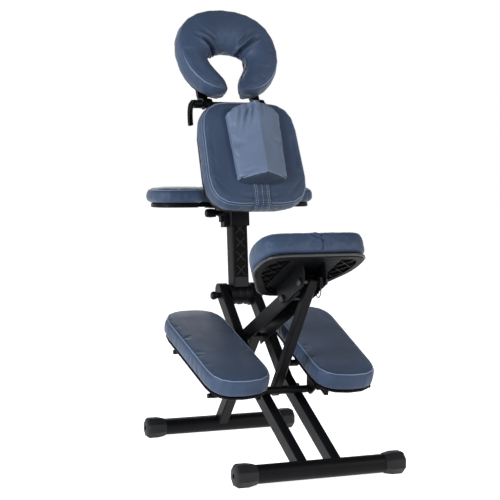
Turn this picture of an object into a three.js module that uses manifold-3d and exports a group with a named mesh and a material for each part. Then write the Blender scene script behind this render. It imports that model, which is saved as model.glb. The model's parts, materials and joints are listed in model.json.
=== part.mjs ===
// Kneeling massage chair: a folding scissor frame of steel tube, a seat, two kneel pads, and a
// mast that carries an armrest, a chest pad with a sternum bolster, and a face cradle.
// Millimetres, +Z up. The sitter faces +Y, and -X is at the sitter's left. Positions in the side
// plane are [y, z] pairs, measured midway between the two base tubes. The finished group is then
// moved along Y and Z, so that its bounding box stands on the origin.
import * as THREE from "three";
import Module from "manifold-3d";
import { mergeVertices } from "three/addons/utils/BufferGeometryUtils.js";

const wasm = await Module();
wasm.setup();

// ---------- driving dimensions ----------
const GAP = 0.3; // clearance between pieces that touch
const WALL = 2; // wall of the steel tubes

// Side-plane positions, [y, z]
const NEAR_TUBE = [-372, 33];
const FAR_TUBE = [372, 33];
const LEG_BEND = [-33, 222];
const SCISSOR_PIVOT = [95, 342];
const STRUT_PIVOT = [-70, 207];
const STRUT_LATCH = [-316, 532];
const MAST_PIVOT = [213, 454];
const CROSSBAR = [-125, 209];
const KNEEL_STOP = [20, 264];
const KNEEL_STOP_LENGTH = 46;

// Base
const BASE = { length: 500, radius: 25.5, capRadius: 33, capLength: 62, capInsert: 30 };

// Legs, struts and arm: width is across X, depth is in the side plane
const REAR_LEG = { x: 50, width: 28, depth: 44, corner: 4, beyond: 20 };
const FRONT_LEG = { width: 34, depth: 38, corner: 4 };
const STRUT = { width: 26, depth: 26, corner: 3 };
const ARM = { width: 62, depth: 44, wall: 3.5, length: 425, angle: 155.4, opened: 90 };
const PIN_RADIUS = 6;

// Seat
const SEAT = {
  near: [-372, 602], tilt: -25, length: 305, halfNear: 153, halfFar: 66,
  board: 14, bevel: 4, cushion: 59, trayRim: 22, trayDepth: 6, ribWidth: 2.4, ribPitch: 34,
};
const SEAT_MOUNT = [-200, 477];
const SEAT_PLATE = { width: 150, length: 190, thickness: 4, y: 122, cheekEnd: 240 };

// Kneel pads
const KNEEL = {
  origin: [-227.9, 204.4], x: 158, tilt: 20.1, splay: 2.6,
  width: 180, length: 455, corner: 80, board: 8, cushion: 53,
  spineX: 56, spineWidth: 12, spineHeight: 18.5, rails: [56, 322], railInner: 80, railOuter: 78,
};
const CROSSBAR_RADIUS = 11;
const CROSSBAR_HALF = 76;

// Mast, in its own frame: origin on the pivot, z along the column
const MAST = { lean: -4.9, size: 50, top: 495, wall: 3.5 };
const PANEL = { width: 40, depth: 1, margin: 30, pitch: 42, crossWidth: 28, crossHeight: 30, rib: 2.4 };
const BARREL = { radius: 30, half: 30, flange: 33, flangeWidth: 4, groove: 2.5 };
const SLEEVE = { size: 63, bore: 51 };
const ARM_SLEEVE_Z = [209, 275];
const CHEST_SLEEVE_Z = [372, 452];
const ARM_CLAMP_Z = 226;
const CHEST_CLAMP_Z = 392;

// Armrest: world height of the board's underside, and the pad's outline
const ARMREST = { y: 291, z: 721, half: 260, lobe: 86, notch: 112, board: 14, cushion: 42 };
const ARMREST_HINGE = [289, 702];
const BOSS = { inner: 29, outer: 47, step: 55, depth: 30, height: 40, stepHeight: 20 };

// Chest pad: its frame has its origin at the bottom centre of the front face, z up the face
const CHEST = {
  origin: [24, 735], tilt: -23.5, height: 332, halfBottom: 158, halfTop: 148, corner: 90,
  board: 13, cushion: 61,
};
const CHEST_HINGE = [193, 889];
const BOLSTER = {
  x: 6, bottom: 66, halfBottom: 76, halfTop: 84, side: 22, height: 60, topEdge: 224, topRidge: 242,
};
const STRAP = { width: 54, thickness: 2.5, x: 2 };

// Face cradle
const CRADLE_POST = { x: 86, depth: 92, radius: 8, bottom: 205, top: 366, rod: 210 };
const SOCKET = { radius: 12, z: [240, 314] };
const CRADLE = { origin: [220, 1080], tilt: -28, halfWidth: 160, height: 292, platform: 10, cushion: 66 };
const CRADLE_ARM = { thickness: 6, apart: 24, reach: 150, foot: 12, webWidth: 26, webDepth: 6 };
const CAM = { x: -119, radius: 13, width: 26 };

// ---------- materials ----------
function finish(color, roughness, metalness) {
  return new THREE.MeshStandardMaterial({ color, roughness, metalness });
}
const vinyl = () => finish(0x4a5c7c, 0.48, 0);
const steel = () => finish(0x17181b, 0.45, 0.35);
const plastic = () => finish(0x101113, 0.55, 0);
const board = () => finish(0x151618, 0.6, 0);
const zinc = () => finish(0x8f9296, 0.35, 0.9);
const rubber = () => finish(0x1b1c1e, 0.75, 0);

// ---------- solids ----------
function solid(geometry) {
  const g = geometry.clone();
  g.deleteAttribute("normal");
  g.deleteAttribute("uv");
  const merged = mergeVertices(g, 1e-3);
  return new wasm.Manifold(new wasm.Mesh({
    numProp: 3,
    vertProperties: new Float32Array(merged.attributes.position.array),
    triVerts: new Uint32Array(merged.index.array),
  }));
}

function geometryOf(manifold) {
  const mesh = manifold.getMesh();
  const indexed = new THREE.BufferGeometry();
  indexed.setAttribute("position", new THREE.BufferAttribute(mesh.vertProperties, 3));
  indexed.setIndex(new THREE.BufferAttribute(mesh.triVerts, 1));
  const g = indexed.toNonIndexed();
  g.computeVertexNormals();
  return g;
}

const union = (...pieces) => geometryOf(pieces.map(solid).reduce((a, b) => a.add(b)));
const clip = (body, keep) => geometryOf(solid(body).intersect(solid(keep)));

function cut(body, ...tools) {
  return geometryOf(tools.map(solid).reduce((a, b) => a.subtract(b), solid(body)));
}

const box = (x, y, z) => new THREE.BoxGeometry(x, y, z);
const move = (g, x, y, z) => g.translate(x, y, z);

// A round bar along X, centred on [y, z].
function barX(radius, length, [y, z] = [0, 0], x = 0, sides = 12) {
  const bar = new THREE.CylinderGeometry(radius, radius, length, sides);
  return bar.rotateZ(Math.PI / 2).translate(x, y, z);
}

// A turned piece along X from [x, radius] stations, its ends closed on the axis.
function turnedX(stations, [y, z] = [0, 0], sides = 12) {
  const points = [[stations[0][0], 0], ...stations, [stations.at(-1)[0], 0]];
  const profile = points.map(([x, r]) => new THREE.Vector2(r, x));
  return new THREE.LatheGeometry(profile, sides).rotateZ(-Math.PI / 2).translate(0, y, z);
}

// An outline through corners [x, y, radius], each corner rounded by up to half of its shorter side.
function outline(corners) {
  const shape = new THREE.Shape();
  corners.forEach(([x, y, radius], i) => {
    const [px, py] = corners.at(i - 1);
    const [nx, ny] = corners[(i + 1) % corners.length];
    const shorter = Math.min(Math.hypot(px - x, py - y), Math.hypot(nx - x, ny - y));
    const r = Math.min(radius, 0.495 * shorter);
    const here = new THREE.Vector2(x, y);
    const before = new THREE.Vector2(px - x, py - y).setLength(r).add(here);
    const after = new THREE.Vector2(nx - x, ny - y).setLength(r).add(here);
    if (i) shape.lineTo(before.x, before.y);
    else shape.moveTo(before.x, before.y);
    if (r > 0) shape.quadraticCurveTo(x, y, after.x, after.y);
  });
  shape.closePath();
  return shape;
}

const roundRect = (w, h, r, x = 0, y = 0) => outline([
  [x - w / 2, y - h / 2, r],
  [x + w / 2, y - h / 2, r],
  [x + w / 2, y + h / 2, r],
  [x - w / 2, y + h / 2, r],
]);

// A flat slab from z = 0 to `thickness`, its edges rounded by `edge`; the outline keeps its size.
function slab(shape, thickness, edge = 0, curveSegments = 4) {
  return new THREE.ExtrudeGeometry(shape, {
    depth: thickness - 2 * edge, curveSegments,
    bevelEnabled: edge > 0, bevelThickness: edge, bevelSize: edge, bevelOffset: -edge,
    bevelSegments: edge >= 5 ? 2 : 1,
  }).translate(0, 0, edge);
}

// The same slab turned to stand in the side plane: the outline's [x, y] become [y, z], and the
// thickness is centred on x.
function sidePlate(shape, thickness, x = 0, edge = 0) {
  const g = slab(shape, thickness, edge, 3).translate(0, 0, -thickness / 2);
  const turn = new THREE.Matrix4().makeBasis(
    new THREE.Vector3(0, 1, 0), new THREE.Vector3(0, 0, 1), new THREE.Vector3(1, 0, 0),
  );
  return g.applyMatrix4(turn).translate(x, 0, 0);
}

// The outline of a strip of width `depth` along [y, z] points, mitred at its bends.
function strip(points, depth) {
  const p = points.map(([y, z]) => new THREE.Vector2(y, z));
  const normals = p.slice(1).map((q, i) => {
    const d = q.clone().sub(p[i]).normalize();
    return new THREE.Vector2(-d.y, d.x);
  });
  const offsets = p.map((_, i) => {
    const a = normals[Math.max(i - 1, 0)];
    const b = normals[Math.min(i, normals.length - 1)];
    const mean = a.clone().add(b).normalize();
    return mean.multiplyScalar(depth / 2 / mean.dot(a));
  });
  const left = p.map((q, i) => q.clone().add(offsets[i]));
  const right = p.map((q, i) => q.clone().sub(offsets[i])).reverse();
  return new THREE.Shape([...left, ...right]);
}

// A hollow rectangular tube along [y, z] points, open at both ends.
function tube(points, { width, depth, corner }) {
  const [first, last] = [points[0], points.at(-1)];
  const beyond = ([y, z], [y2, z2]) => {
    const length = Math.hypot(y - y2, z - z2);
    return [y + ((y - y2) * 5) / length, z + ((z - z2) * 5) / length];
  };
  const inner = [beyond(first, points[1]), ...points.slice(1, -1), beyond(last, points.at(-2))];
  return cut(
    sidePlate(strip(points, depth), width, 0, corner),
    sidePlate(strip(inner, depth - 2 * WALL), width - 2 * WALL, 0, corner),
  );
}

const along = ([y, z], degrees, distance) => {
  const a = THREE.MathUtils.degToRad(degrees);
  return [y + distance * Math.cos(a), z + distance * Math.sin(a)];
};
const angleOf = ([y, z], [y2, z2]) => THREE.MathUtils.radToDeg(Math.atan2(z2 - z, y2 - y));

// A knob turned along X with flats round its rim, its inner face at x = 0 and growing to -X.
function knobX(radius, length, stem, flutes = 5) {
  const body = turnedX([
    [-length, radius * 0.72],
    [-length + 2, radius * 0.9],
    [-length * 0.55, radius],
    [-2, radius * 0.9],
    [0, radius * 0.6],
  ]);
  const grooves = Array.from({ length: flutes }, (_, i) => {
    const centre = along([0, 0], (i / flutes) * 360, radius * 1.08);
    return barX(radius * 0.28, length * 1.2, centre, -length / 2, 8);
  });
  return union(cut(body, ...grooves), barX(stem.radius, stem.length, [0, 0], stem.length / 2 - 1, 14));
}

// ---------- scene graph ----------
const chair = new THREE.Group();
chair.name = "kneeling_massage_chair";

function add(parent, name, geometry, material, position = [0, 0, 0]) {
  const mesh = new THREE.Mesh(geometry, material);
  mesh.name = name;
  mesh.position.set(...position);
  parent.add(mesh);
  return mesh;
}

// A group at [y, z] in the side plane, turned about X.
function frameAt(parent, name, [y, z], degrees, x = 0) {
  const group = new THREE.Group();
  group.name = name;
  group.position.set(x, y, z);
  group.rotation.x = THREE.MathUtils.degToRad(degrees);
  parent.add(group);
  return group;
}

// A point of the side plane in a group's own frame.
function inFrame(group, place) {
  group.updateMatrixWorld(true);
  const p = group.worldToLocal(new THREE.Vector3(0, ...place));
  return [p.y, p.z];
}

const SIDES = [["left", -1], ["right", 1]];

// ---------- base ----------
function footCap(side) {
  const { capRadius: r, capLength: length, radius, capInsert } = BASE;
  const shell = turnedX([
    [0, r * 0.62], [3, r * 0.86], [10, r], [38, r], [48, r * 0.94], [60, r * 0.86], [length, r * 0.84],
  ], [0, 0], 8);
  const flat = move(box(length * 3, 4 * r, 2 * r), 0, 0, -r - r * Math.cos(Math.PI / 8));
  const bore = barX(radius + GAP, length, [0, 0], length / 2 + (length - capInsert), 24);
  const screw = barX(7, 8);
  const rounded = cut(shell.rotateX(Math.PI / 8), flat, bore, screw);
  return side < 0 ? rounded : rounded.rotateZ(Math.PI);
}

function baseTube(parent, name, place) {
  const { length, radius, capLength, capInsert } = BASE;
  const outer = length - 2 * (capLength - capInsert) - 2 * GAP;
  add(parent, name + "_base_tube", cut(
    barX(radius, outer, [0, 0], 0, 24),
    barX(radius - WALL, outer + 10, [0, 0], 0, 24),
  ), steel(), [0, ...place]);
  for (const [word, side] of SIDES) {
    const cap = footCap(side);
    add(parent, `${name}_foot_cap_${word}`, cap, rubber(), [(side * length) / 2, ...place]);
  }
}

const tubeRelief = (place) => barX(BASE.radius + GAP, BASE.length, place, 0, 24);

// ---------- rear frame ----------
function rearLeg(parent, word, side) {
  const { x, width, depth, beyond } = REAR_LEG;
  const crown = along(MAST_PIVOT, angleOf(LEG_BEND, MAST_PIVOT), beyond);
  const bar = tube([NEAR_TUBE, LEG_BEND, crown], REAR_LEG);
  const head = barX(depth / 2, width, crown, 0, 24);
  const bores = [
    barX(PIN_RADIUS + 2 + GAP, 80, MAST_PIVOT),
    barX(PIN_RADIUS + GAP, 80, SCISSOR_PIVOT),
    barX(PIN_RADIUS + GAP, 80, STRUT_PIVOT),
    barX(CROSSBAR_RADIUS + GAP, 80, CROSSBAR),
  ];
  const leg = cut(union(bar, head), tubeRelief(NEAR_TUBE), ...bores);
  add(parent, `rear_leg_${word}`, leg, steel(), [side * x, 0, 0]);
  const outer = x + width / 2 + GAP;
  const stub = barX(10, KNEEL_STOP_LENGTH, KNEEL_STOP, side * (outer + KNEEL_STOP_LENGTH / 2));
  add(parent, `kneel_stop_${word}`, stub, steel());
}

// A pivot bolt along X: a head on the left, and a nut on the right.
function pivotBolt(place, half, radius = PIN_RADIUS) {
  return turnedX([
    [-half - 7, radius * 1.5], [-half - 6, radius * 1.9], [-half, radius * 1.9], [-half, radius],
    [half, radius], [half, radius * 1.9], [half + 8, radius * 1.9], [half + 8.5, radius * 1.2],
  ], place, 12);
}

function buildRearFrame() {
  baseTube(chair, "near", NEAR_TUBE);
  for (const [word, side] of SIDES) rearLeg(chair, word, side);
  const outer = REAR_LEG.x + REAR_LEG.width / 2 + GAP;
  add(chair, "kneeler_crossbar", cut(
    barX(CROSSBAR_RADIUS, 2 * CROSSBAR_HALF, CROSSBAR), barX(CROSSBAR_RADIUS - WALL, 400, CROSSBAR),
  ), steel());
  add(chair, "scissor_pivot_bolt", pivotBolt(SCISSOR_PIVOT, outer), zinc());
  add(chair, "strut_pivot_bolt", pivotBolt(STRUT_PIVOT, outer), zinc());
}

// ---------- front frame: far base tube, front leg, seat arm ----------
function buildFrontFrame() {
  baseTube(chair, "far", FAR_TUBE);
  const legAngle = angleOf(SCISSOR_PIVOT, FAR_TUBE);
  const head = along(SCISSOR_PIVOT, legAngle, -16);
  const leg = tube([head, FAR_TUBE], FRONT_LEG);
  add(chair, "front_leg", cut(
    leg, tubeRelief(FAR_TUBE), barX(PIN_RADIUS + GAP, 80, SCISSOR_PIVOT),
  ), steel());

  const { width, depth, wall, length, angle, opened } = ARM;
  const low = along(SCISSOR_PIVOT, angle, -26);
  const high = along(SCISSOR_PIVOT, angle, length);
  const channel = sidePlate(strip([low, high], depth), width, 0, 2);
  const lift = angle - 90; // the open side of the channel faces down
  const shift = (p, d) => along(p, lift, d);
  const inside = strip([shift(along(low, angle, -9), -wall), shift(along(high, angle, 9), -wall)], depth);
  const end = along(low, angle, opened);
  const clearing = strip([along(low, angle, -9), end], depth * 2);
  add(chair, "seat_arm", cut(
    channel,
    sidePlate(inside, width - 2 * wall),
    sidePlate(clearing, FRONT_LEG.width + 8),
    barX(PIN_RADIUS + GAP, 80, SCISSOR_PIVOT),
    barX(PIN_RADIUS + GAP, 80, SEAT_MOUNT),
  ), steel());
}

// ---------- strut: holds the scissor open, and hooks over the latch pin under the seat ----------
function buildStrut() {
  const angle = angleOf(STRUT_PIVOT, STRUT_LATCH);
  const bar = tube([along(STRUT_PIVOT, angle, -18), along(STRUT_LATCH, angle, 12)], STRUT);
  const notch = strip([STRUT_LATCH, along(STRUT_LATCH, angle - 90, 30)], 2 * PIN_RADIUS + 1);
  add(chair, "seat_strut", cut(
    bar,
    sidePlate(notch, 60),
    barX(PIN_RADIUS + 0.5, 60, STRUT_LATCH),
    barX(PIN_RADIUS + GAP, 80, STRUT_PIVOT),
  ), steel());
}

// ---------- seat ----------
function seatOutline(inset) {
  const { length, halfNear, halfFar } = SEAT;
  const [near, far, wide] = [halfNear - inset, halfFar - inset, length * 0.38];
  return outline([
    [-near, inset, 78], [near, inset, 78], [near, wide, 36],
    [far, length - inset, 52], [-far, length - inset, 52], [-near, wide, 36],
  ]);
}

// Crossed ribs at 45 degrees in the tray under the seat, clear of the bracket.
function seatRibs(tray) {
  const { length, ribWidth, ribPitch, trayDepth } = SEAT;
  const count = 6;
  const ribs = [];
  for (let i = -count; i <= count; i++) {
    for (const turn of [-1, 1]) {
      const rib = box(ribWidth, 2 * length, trayDepth - 1).rotateZ((turn * Math.PI) / 4);
      ribs.push(rib.translate(i * ribPitch * Math.SQRT2, length / 2, trayDepth / 2 + 0.5));
    }
  }
  const [start, end] = [SEAT_PLATE.y - SEAT_PLATE.length / 2 - 5, SEAT_PLATE.cheekEnd + 5];
  const clearing = box(SEAT_PLATE.width + 8, end - start, length).translate(0, (start + end) / 2, 0);
  return cut(clip(union(...ribs), tray), clearing);
}

function seatBoard() {
  const { board: thickness, bevel, trayRim, trayDepth } = SEAT;
  const rim = slab(seatOutline(3), thickness, bevel);
  const tray = slab(seatOutline(trayRim), trayDepth + 3).translate(0, 0, -3);
  const wider = slab(seatOutline(trayRim - 1), trayDepth + 4).translate(0, 0, -3);
  return union(cut(rim, tray), seatRibs(wider));
}

function buildSeat() {
  const seat = frameAt(chair, "seat", SEAT.near, SEAT.tilt);
  add(seat, "seat_board", seatBoard(), board());
  add(seat, "seat_cushion", slab(seatOutline(0), SEAT.cushion, 11), vinyl(), [0, 0, SEAT.board + GAP]);

  // Pressed bracket: a plate screwed into the tray, and two cheeks astride the arm and the strut.
  const { width: plateWidth, length: plateLength, thickness, y: plateY, cheekEnd } = SEAT_PLATE;
  const plate = box(plateWidth, plateLength, thickness)
    .translate(0, plateY, SEAT.trayDepth - GAP - thickness / 2 - 0.1);
  const cheek = (x) => sidePlate(outline([
    [48, 4, 0], [48, -30, 8], [66, -56, 12], [200, -56, 14], [cheekEnd, -44, 14], [cheekEnd, 4, 0],
  ]), 3.5, x);
  const bore = (place) => barX(PIN_RADIUS + GAP, 100, inFrame(seat, place));
  const x = ARM.width / 2 + GAP + 1.75;
  add(seat, "seat_bracket", cut(
    union(plate, cheek(-x), cheek(x)), bore(STRUT_LATCH), bore(SEAT_MOUNT),
  ), steel());
  add(chair, "seat_mount_bolt", pivotBolt(SEAT_MOUNT, x + 1.75 + GAP), zinc());
  add(chair, "seat_latch_pin", pivotBolt(STRUT_LATCH, x + 1.75 + GAP), zinc());

  // Release lever beside the strut, with its wire loop.
  const lever = outline([[-24, -13, 5], [13, -13, 8], [16, 12, 6], [-24, 14, 5]]);
  const wire = new THREE.EllipseCurve(0, -24, 17, 20, Math.PI * 0.62, Math.PI * 2.38);
  const path = new THREE.CatmullRomCurve3(wire.getPoints(14).map((p) => new THREE.Vector3(0, p.x, p.y)));
  const ring = new THREE.Shape().absarc(0, 0, 1.6, 0, 2 * Math.PI);
  const loop = new THREE.ExtrudeGeometry(ring, { steps: 14, curveSegments: 2, extrudePath: path });
  add(chair, "seat_latch_lever", cut(
    union(sidePlate(lever, 7, 0, 1), loop), barX(PIN_RADIUS + GAP, 30),
  ), steel(), [STRUT.width / 2 + 6, ...STRUT_LATCH]);
}

// ---------- kneel pads ----------
function buildKneelPad(word, side) {
  const { width, length, corner, splay, rails, railInner, railOuter } = KNEEL;
  const { spineX, spineWidth, spineHeight } = KNEEL;
  const slope = frameAt(chair, `kneel_slope_${word}`, KNEEL.origin, KNEEL.tilt, side * KNEEL.x);
  const pad = frameAt(slope, `kneel_pad_${word}`, [0, 0], 0);
  pad.rotation.z = THREE.MathUtils.degToRad(-side * splay);
  const shape = (inset) => roundRect(width - 2 * inset, length - 2 * inset, corner, 0, length / 2);
  add(pad, `kneel_board_${word}`, slab(shape(3), KNEEL.board, 2), board());
  add(pad, `kneel_cushion_${word}`, slab(shape(0), KNEEL.cushion, 9), vinyl(), [0, 0, KNEEL.board + GAP]);

  // Steel carrier: a spine over the stop, two rails out to the rim, and an ear on the crossbar's end.
  chair.updateMatrixWorld(true);
  const inverse = pad.matrixWorld.clone().invert();
  const ear = new THREE.Vector3(side * (CROSSBAR_HALF + 6), ...CROSSBAR).applyMatrix4(inverse);
  const spine = box(spineWidth, length - 60, spineHeight)
    .translate(-side * spineX, length / 2, -spineHeight / 2 - GAP);
  const middle = (side * (railOuter - railInner)) / 2;
  const bars = rails.map((y) => box(railOuter + railInner, 20, 10).translate(middle, y, -5 - GAP));
  const plugs = rails.map((y) => barX(7, 12, [y, -7 - GAP], side * (railOuter + 4), 14));
  const hub = sidePlate(outline([
    [ear.y - 48, -1, 0],
    [ear.y - 13, ear.z - 13, 10],
    [ear.y + 13, ear.z - 13, 10],
    [ear.y + 30, -1, 0],
  ]), 5, ear.x);
  const bore = barX(PIN_RADIUS + GAP, 40, [ear.y, ear.z], ear.x);
  add(pad, `kneel_carrier_${word}`, cut(union(spine, ...bars, ...plugs, hub), bore), steel());
  const bolt = turnedX([[0, PIN_RADIUS], [10, PIN_RADIUS], [10, 10], [16, 10], [17, 8]], [0, 0], 12);
  if (side < 0) bolt.rotateZ(Math.PI);
  const seatOfBolt = [side * (CROSSBAR_HALF + GAP), ...CROSSBAR];
  add(chair, `kneel_pivot_bolt_${word}`, bolt, zinc(), seatOfBolt);
}

// ---------- mast ----------
// Crosses of thin ribs, one above the other, standing in the sunk panel of the column's front face.
function panelCrosses(from, to) {
  const { pitch, crossWidth, crossHeight, rib, depth } = PANEL;
  const crosses = [];
  for (let z = from + pitch / 2; z < to - pitch / 3; z += pitch) {
    for (const turn of [-1, 1]) {
      const bar = box(rib, 2 * depth, Math.hypot(crossWidth, crossHeight));
      bar.rotateY(turn * Math.atan2(crossWidth, crossHeight));
      crosses.push(bar.translate(0, -MAST.size / 2 + 1.2 * depth, z));
    }
  }
  return crosses;
}

function mastColumn() {
  const { size, top, wall } = MAST;
  const foot = BARREL.radius * 0.8;
  const height = top - foot;
  const hollow = size - 2 * wall;
  const body = slab(roundRect(size, size, 4), height).translate(0, 0, foot);
  const bore = slab(roundRect(hollow, hollow, 2), height + 20).translate(0, 0, foot - 10);
  const panelHeight = height - 2 * PANEL.margin;
  const panel = box(PANEL.width, 2 * PANEL.depth, panelHeight)
    .translate(0, -size / 2, foot + height / 2);
  const crosses = panelCrosses(foot + PANEL.margin, top - PANEL.margin);
  const saddle = barX(BARREL.radius + GAP, 80, [0, 0], 0, 24);
  return cut(union(cut(body, bore, panel), ...crosses), saddle);
}

// The barrel at the column's foot, with two broad grooves turned round it.
function mastBarrel(pin) {
  const { radius, half, groove } = BARREL;
  const small = radius - groove;
  const right = [[6, radius], [8, small], [16, small], [18, radius], [half, radius]];
  const left = right.map(([x, r]) => [-x, r]).reverse();
  return cut(turnedX([...left, ...right], [0, 0], 24), barX(pin + GAP, 90));
}

// A square sleeve round the column between two heights.
function sleeve([z0, z1]) {
  const { size, bore } = SLEEVE;
  const body = slab(roundRect(size, size, 6), z1 - z0, 2);
  const hole = slab(roundRect(bore, bore, 3), z1 - z0 + 20).translate(0, 0, -10);
  return cut(body, hole).translate(0, 0, z0);
}

// The clamp screw at the back of a sleeve: its hole, and the knob that turns in it.
function clampBore(z) {
  return new THREE.CylinderGeometry(5 + GAP, 5 + GAP, 20, 12).translate(0, SLEEVE.size / 2, z);
}

function clampKnob(mast, name, z) {
  const knob = knobX(14, 18, { radius: 5, length: 5 }).rotateZ(-Math.PI / 2);
  add(mast, name, knob, plastic(), [0, SLEEVE.size / 2 + 1, z]);
}

function buildMast() {
  const mast = frameAt(chair, "mast", MAST_PIVOT, MAST.lean);
  const pin = PIN_RADIUS + 2;
  add(mast, "mast_barrel", mastBarrel(pin), steel());
  for (const [word, side] of SIDES) {
    const x = side * (BARREL.half + GAP + BARREL.flangeWidth / 2);
    add(mast, `barrel_washer_${word}`, cut(
      barX(BARREL.flange, BARREL.flangeWidth, [0, 0], x, 24), barX(pin + GAP, 90),
    ), plastic());
  }
  add(mast, "mast_column", mastColumn(), steel());
  const cap = slab(roundRect(MAST.size + 2, MAST.size + 2, 5), 5, 1.5);
  add(mast, "mast_top_cap", cap, plastic(), [0, 0, MAST.top + GAP]);

  const outer = REAR_LEG.x + REAR_LEG.width / 2 + GAP;
  const bolt = turnedX([
    [-outer - 10, pin], [outer, pin], [outer, 13], [outer + 8, 13], [outer + 12, 8],
  ], MAST_PIVOT, 12);
  add(chair, "mast_pivot_bolt", bolt, zinc());
  const knob = knobX(13, 17, { radius: 9, length: 9 }, 7);
  const bore = barX(pin + GAP, 20, [0, 0], 2, 20);
  add(chair, "mast_pivot_knob", cut(knob, bore), plastic(), [-outer - 9, ...MAST_PIVOT]);
  return mast;
}

// ---------- armrest ----------
function armrestOutline(inset) {
  const { half, lobe, notch } = ARMREST;
  const [side, near, far, step] = [half - inset, -lobe + inset, lobe - inset, notch + inset];
  const back = -14 + inset;
  return outline([
    [-side, near, 66], [-step, near, 30], [-step + 4, back, 22], [step - 4, back, 22],
    [step, near, 30], [side, near, 66], [side, far - 8, 72], [0, far, 120], [-side, far - 8, 72],
  ]);
}

// The stepped boss on the sleeve's left side.
function armrestBoss() {
  const { inner, outer, step, depth, height, stepHeight } = BOSS;
  const [foot] = ARM_SLEEVE_Z;
  const block = box(outer - inner, depth, height).translate(-(outer + inner) / 2, 0, foot + height / 2 - 2);
  const nub = box(step - inner, depth * 0.6, stepHeight);
  return [block, nub.translate(-(step + inner) / 2, 0, foot + height - stepHeight / 2 - 6)];
}

function buildArmrest(mast) {
  const hinge = inFrame(mast, ARMREST_HINGE);
  const back = SLEEVE.size / 2 - 2;
  const earOutline = outline([
    [back, hinge[1] - 14, 3],
    [hinge[0] + 13, hinge[1] - 14, 11],
    [hinge[0] + 13, hinge[1] + 13, 11],
    [back, hinge[1] + 13, 3],
  ]);
  const ears = [-1, 1].map((side) => sidePlate(earOutline, 5, side * 28));
  add(mast, "armrest_sleeve", cut(
    union(sleeve(ARM_SLEEVE_Z), ...ears, ...armrestBoss()),
    barX(PIN_RADIUS + GAP, 100, hinge),
    clampBore(ARM_CLAMP_Z),
  ), plastic());
  clampKnob(mast, "armrest_height_knob", ARM_CLAMP_Z);

  const rest = frameAt(chair, "armrest", [ARMREST.y, ARMREST.z], 0);
  add(rest, "armrest_board", slab(armrestOutline(9), ARMREST.board, 2.5), board());
  const cushion = slab(armrestOutline(0), ARMREST.cushion, 11);
  add(rest, "armrest_cushion", cushion, vinyl(), [0, 0, ARMREST.board + GAP]);
  const [hy, hz] = [ARMREST_HINGE[0] - ARMREST.y, ARMREST_HINGE[1] - ARMREST.z];
  const plate = box(110, 90, 4).translate(0, 30, -2 - GAP);
  const lug = outline([[hy - 12, -2, 0], [hy + 40, -2, 0], [hy + 12, hz - 12, 9], [hy - 12, hz - 12, 9]]);
  const lugs = [-1, 1].map((side) => sidePlate(lug, 5, side * 34));
  const hingeBore = barX(PIN_RADIUS + GAP, 100, [hy, hz]);
  add(rest, "armrest_bracket", cut(union(plate, ...lugs), hingeBore), steel());
  add(chair, "armrest_hinge_bolt", turnedX([
    [-50, PIN_RADIUS], [37, PIN_RADIUS], [37, 11], [44, 11], [46, 8],
  ], ARMREST_HINGE, 12), zinc());
  add(chair, "armrest_tilt_knob", cut(
    knobX(14, 34, { radius: 8, length: 9 }), barX(PIN_RADIUS + GAP, 20, [0, 0], 4),
  ), plastic(), [-46, ...ARMREST_HINGE]);
}

// ---------- chest pad ----------
function chestOutline(inset) {
  const { height, halfBottom, halfTop, corner } = CHEST;
  const [low, high] = [halfBottom - inset, halfTop - inset];
  return outline([
    [-low, inset, corner],
    [low, inset, corner],
    [high, height - inset, corner],
    [-high, height - inset, corner],
  ]);
}

// Slabs of the chest pad stand up: outline y becomes z, and the thickness runs to -Y, the sitter.
const standing = (g) => g.rotateX(Math.PI / 2);

function buildChest(mast) {
  const chest = frameAt(chair, "chest", CHEST.origin, CHEST.tilt);
  const back = CHEST.cushion + GAP + CHEST.board;
  const cushion = standing(slab(chestOutline(0), CHEST.cushion, 13));
  add(chest, "chest_cushion", cushion, vinyl(), [0, CHEST.cushion, 0]);
  add(chest, "chest_board", standing(slab(chestOutline(4), CHEST.board, 2)), board(), [0, back, 0]);

  const hinge = inFrame(chest, CHEST_HINGE);
  const plate = box(84, 4, 105).translate(0, back + GAP + 2, hinge[1] - 13);
  const face = back + GAP + 2;
  const lug = outline([
    [face, hinge[1] - 34, 0],
    [hinge[0] + 12, hinge[1] - 12, 9],
    [hinge[0] + 12, hinge[1] + 12, 9],
    [face, hinge[1] + 34, 0],
  ]);
  const lugs = [-1, 1].map((side) => sidePlate(lug, 5, side * 38.5));
  add(chest, "chest_bracket", cut(union(plate, ...lugs), barX(PIN_RADIUS + GAP, 120, hinge)), steel());

  const onMast = inFrame(mast, CHEST_HINGE);
  const front = -SLEEVE.size / 2 + 2;
  const ear = outline([
    [onMast[0] - 12, onMast[1] - 12, 10],
    [onMast[0] - 12, onMast[1] + 12, 10],
    [front, onMast[1] + 20, 3],
    [front, onMast[1] - 24, 3],
  ]);
  const ears = [-1, 1].map((side) => sidePlate(ear, 8, side * 28.5));
  add(mast, "chest_carriage", cut(
    union(sleeve(CHEST_SLEEVE_Z), ...ears),
    barX(PIN_RADIUS + GAP, 120, onMast),
    clampBore(CHEST_CLAMP_Z),
  ), plastic());
  clampKnob(mast, "chest_height_knob", CHEST_CLAMP_Z);
  add(chair, "chest_hinge_bolt", turnedX([
    [-54, PIN_RADIUS], [41.5, PIN_RADIUS], [41.5, 11], [48, 11], [50, 8],
  ], CHEST_HINGE, 12), zinc());
  add(chair, "chest_tilt_knob", cut(
    knobX(15, 24, { radius: 8, length: 8 }), barX(PIN_RADIUS + GAP, 20, [0, 0], 2),
  ), plastic(), [-49, ...CHEST_HINGE]);
  return chest;
}

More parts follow.
